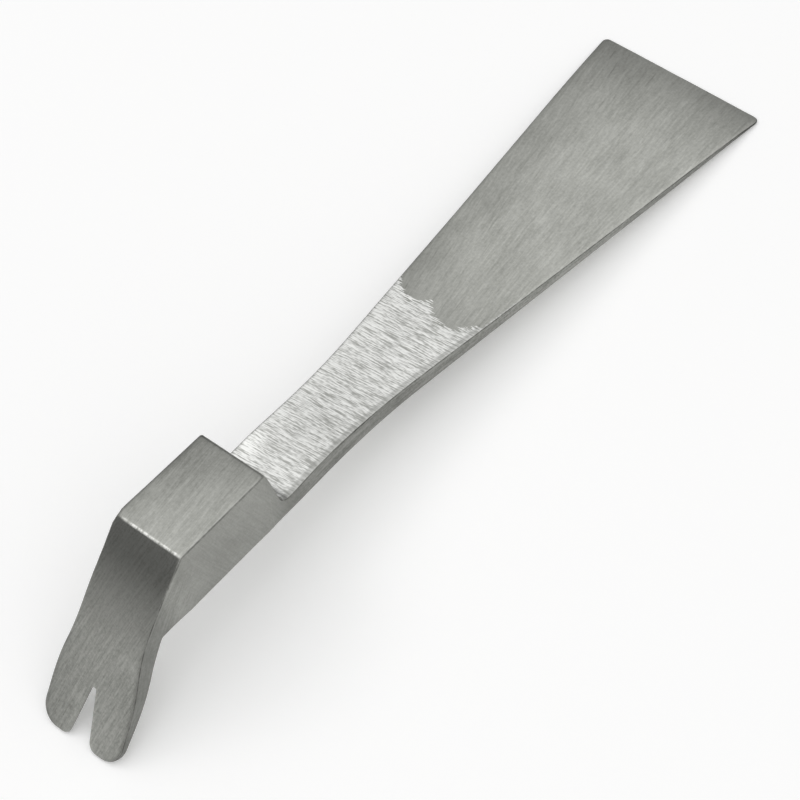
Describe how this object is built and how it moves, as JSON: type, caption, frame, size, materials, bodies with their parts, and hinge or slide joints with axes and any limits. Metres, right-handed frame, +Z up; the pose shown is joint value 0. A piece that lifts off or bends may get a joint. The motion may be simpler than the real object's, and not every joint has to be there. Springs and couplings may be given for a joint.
{
  "type": "hive tool",
  "caption": "Steel hive tool with a broad flared scraper blade, a thick hammer head and a bent, notched nail-pulling claw.",
  "frame": {"origin": "centre of the bounding box at its base, on the ground the tool lies on", "axes": "+X along the tool towards the blade, +Y across it, +Z up; the tool lies on its claw's tips and its blade's end, so its flat underside leans 6.2 degrees down towards the blade"},
  "size_m": [0.2254, 0.0486, 0.0393],
  "materials": {
    "tool_body": "ground and satin-brushed stainless steel, brighter and coarser across the neck's top"
  },
  "bodies": {
    "root": {"tool_body": "tool_body"}
  },
  "joints": []
}
